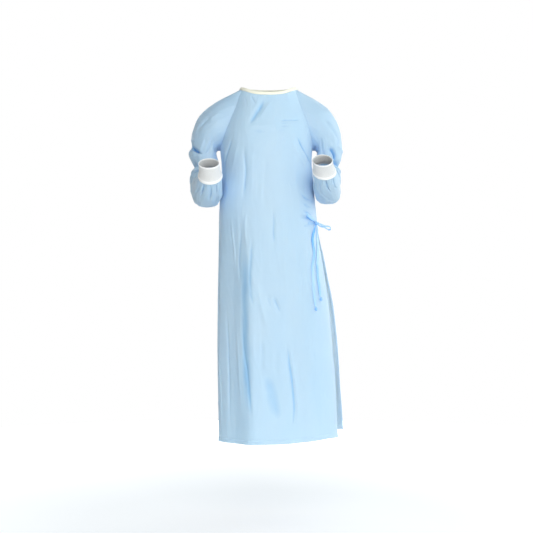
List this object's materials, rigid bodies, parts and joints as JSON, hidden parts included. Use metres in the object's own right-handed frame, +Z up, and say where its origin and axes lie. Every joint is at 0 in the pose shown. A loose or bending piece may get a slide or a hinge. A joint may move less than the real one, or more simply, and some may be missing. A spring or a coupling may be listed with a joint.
{
  "type": "surgical gown",
  "caption": "Wrap-over surgical gown, hollow as worn, with raglan sleeves raised forward, knit cuffs, bound neck and side bow.",
  "frame": {"origin": "middle of the neck opening, level with the top of the shoulders, where the wearer holds the gown up", "axes": "+Z up, the front faces -Y, and +X is the wearer's left, which is at the right in a view of the front"},
  "size_m": [0.5246, 0.4431, 1.1971],
  "materials": {
    "gown_cloth": "light blue matt nonwoven cloth",
    "cuff_knit": "white rib knit",
    "neck_binding_knit": "cream knit binding",
    "tie_cloth": "light blue folded nonwoven strip"
  },
  "bodies": {
    "root": {"front_panel": "gown_cloth", "back_panel_over": "gown_cloth", "back_panel_under": "gown_cloth", "sleeve_left": "gown_cloth", "sleeve_right": "gown_cloth", "neck_binding": "neck_binding_knit", "cuff_left": "cuff_knit", "cuff_right": "cuff_knit", "tie_strap_front": "tie_cloth", "tie_strap_back": "tie_cloth", "tie_knot": "tie_cloth", "tie_loop_front": "tie_cloth", "tie_loop_side": "tie_cloth", "tie_tail_front": "tie_cloth", "tie_tail_side": "tie_cloth", "tie_end_front": "tie_cloth", "tie_end_side": "tie_cloth"}
  },
  "joints": []
}
